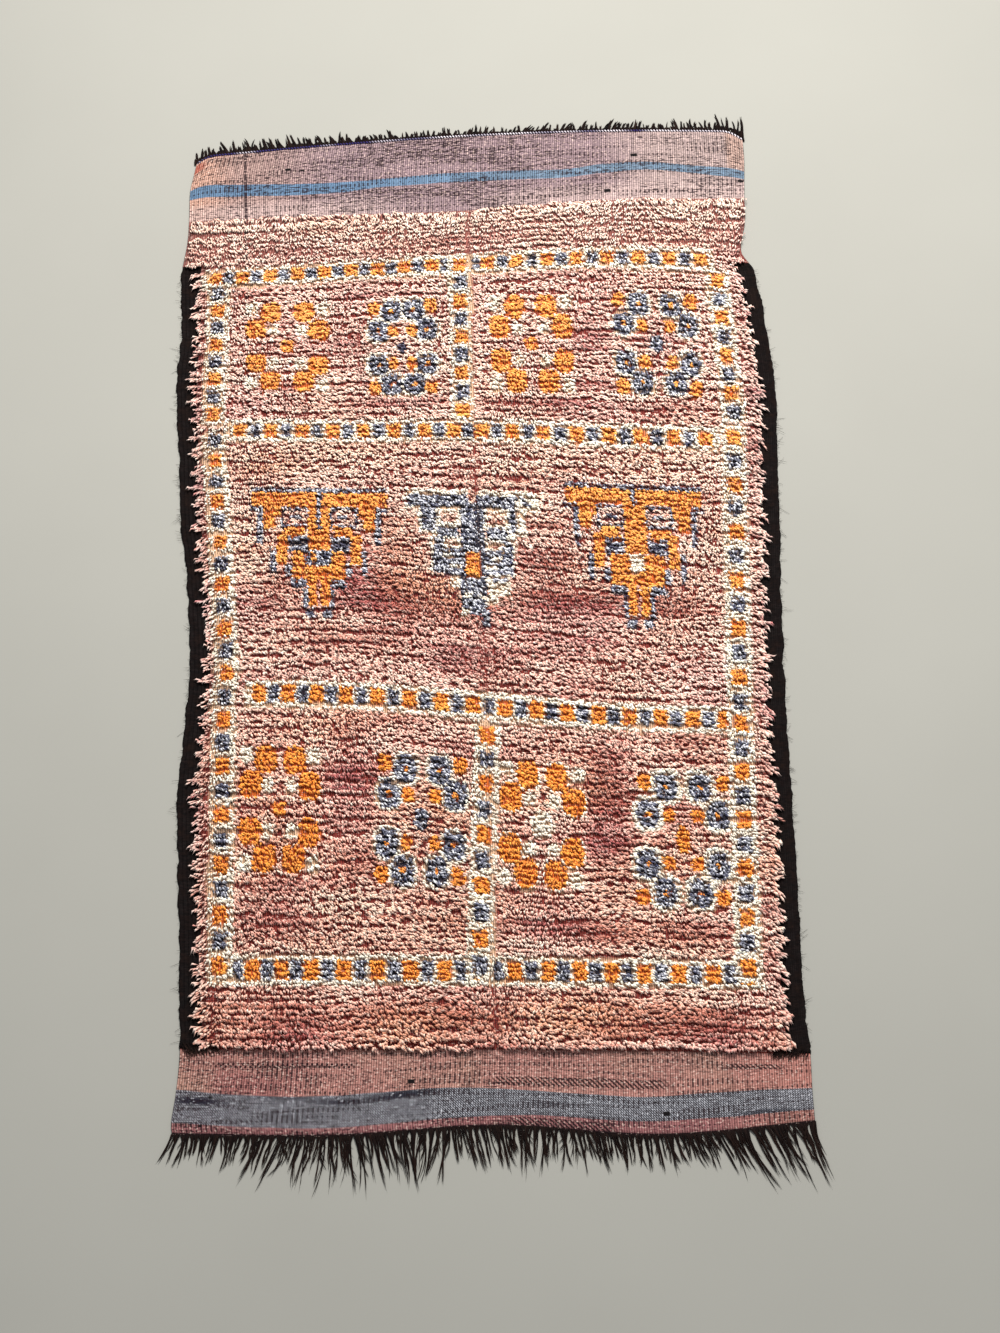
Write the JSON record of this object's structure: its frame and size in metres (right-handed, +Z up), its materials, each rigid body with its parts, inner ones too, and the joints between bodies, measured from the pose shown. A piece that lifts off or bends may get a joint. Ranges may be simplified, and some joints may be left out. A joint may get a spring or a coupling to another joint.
{
  "type": "boujaad rug",
  "caption": "Long hand-knotted wool rug lying flat: flat-woven striped ends, chequered pile field, dark selvedges and warp fringes.",
  "frame": {"origin": "middle of the rug's box, on the floor that it lies on", "axes": "+Y along the rug towards the end with short tufts, +X across it, +Z up out of the pile"},
  "size_m": [1.3864, 2.76, 0.0188],
  "materials": {
    "rose_wool": "matte knotted and woven wool",
    "goat_hair": "matte twisted goat hair"
  },
  "bodies": {
    "root": {"rug_cloth": "rose_wool", "left_selvedge": "goat_hair", "right_selvedge": "goat_hair", "short_fringe": "goat_hair", "long_fringe": "goat_hair"}
  },
  "joints": []
}
